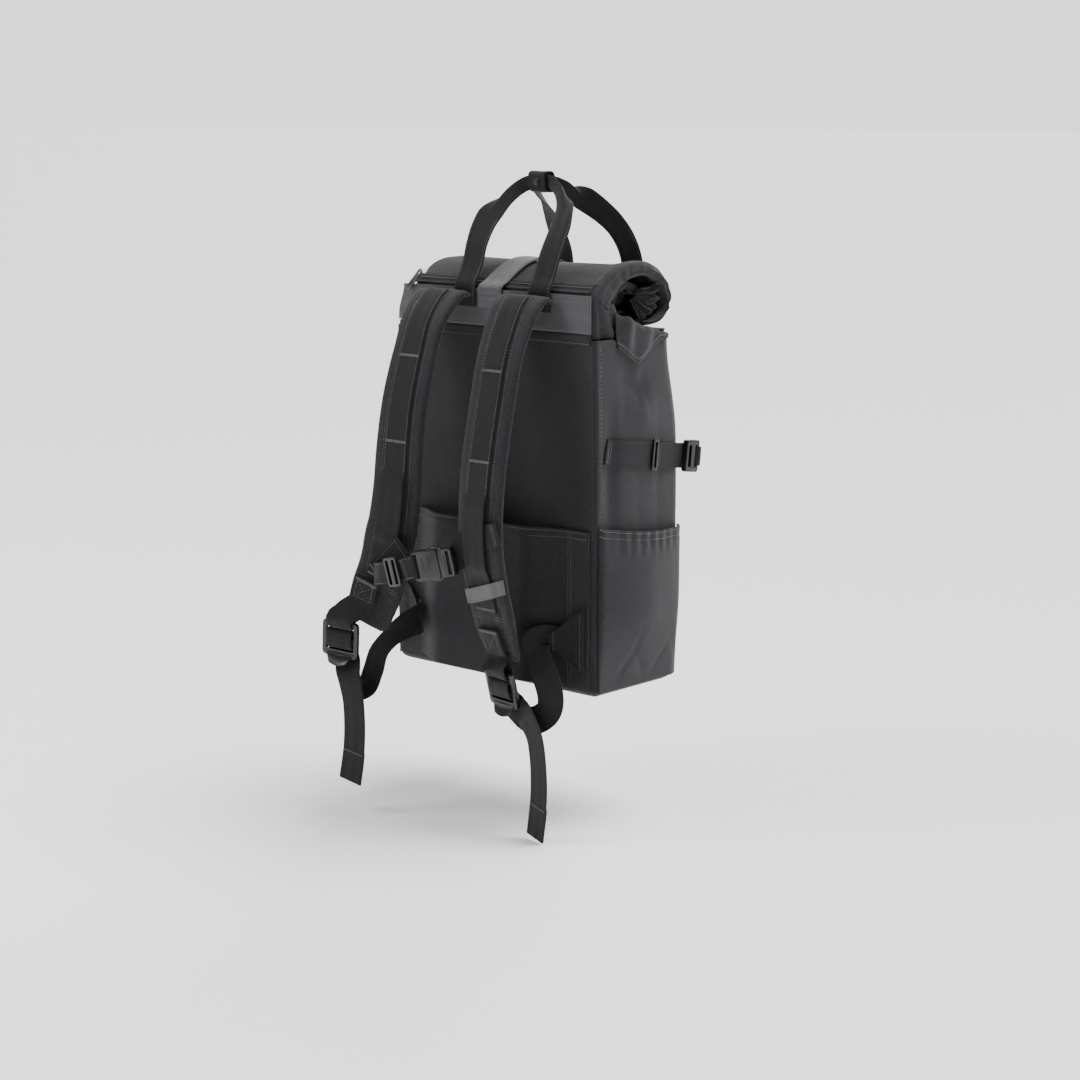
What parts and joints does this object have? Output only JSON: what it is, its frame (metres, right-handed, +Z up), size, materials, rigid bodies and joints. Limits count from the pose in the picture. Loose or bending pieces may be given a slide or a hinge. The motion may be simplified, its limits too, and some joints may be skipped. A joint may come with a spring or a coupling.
{
  "type": "roll-top backpack",
  "caption": "Roll-top backpack with padded shoulder straps, chest strap, side pockets, paired carry handles and a back sleeve for trolley tubes.",
  "frame": {"origin": "middle of the passage behind the luggage sleeve, level with the flat base: where a trolley's tubes hold the pack up", "axes": "+Z up along the pack, -Y out of the back panel towards the wearer, +X to the right of someone who looks at the back panel"},
  "size_m": [0.3468, 0.3065, 0.7458],
  "materials": {
    "fabric": "fine plain weave",
    "webbing": "twill webbing",
    "plastic": "matte moulded",
    "patch": "smooth, slightly shiny",
    "metal": "dark satin"
  },
  "bodies": {
    "root": {"pack_body": "fabric", "roll_top": "fabric", "collar_gusset_right": "fabric", "collar_gusset_left": "fabric", "top_band": "webbing", "luggage_sleeve": "fabric", "side_pocket_right": "fabric", "side_pocket_left": "fabric", "shoulder_strap_right": "fabric", "face_webbing_right": "webbing", "shoulder_strap_left": "fabric", "face_webbing_left": "webbing", "ladder_lock_right": "plastic", "strap_loop_right": "webbing", "lower_webbing_right": "webbing", "ladder_lock_left": "plastic", "strap_loop_left": "webbing", "lower_webbing_left": "webbing", "anchor_wing_right": "webbing", "anchor_wing_left": "webbing", "handle_near": "webbing", "handle_far": "webbing", "handle_keeper": "webbing", "collar_zip": "webbing", "zip_pull": "metal", "closure_strap": "webbing", "closure_hook": "plastic", "side_strap_right": "webbing", "tri_glide_right": "plastic", "side_hook_right": "plastic", "front_loop_right": "webbing", "side_strap_left": "webbing", "tri_glide_left": "plastic", "side_hook_left": "plastic", "front_loop_left": "webbing", "sternum_socket": "plastic", "sternum_plug": "plastic", "sternum_webbing_left": "webbing", "sternum_slider": "plastic", "sternum_webbing_right": "webbing", "strap_patch": "patch"}
  },
  "joints": []
}
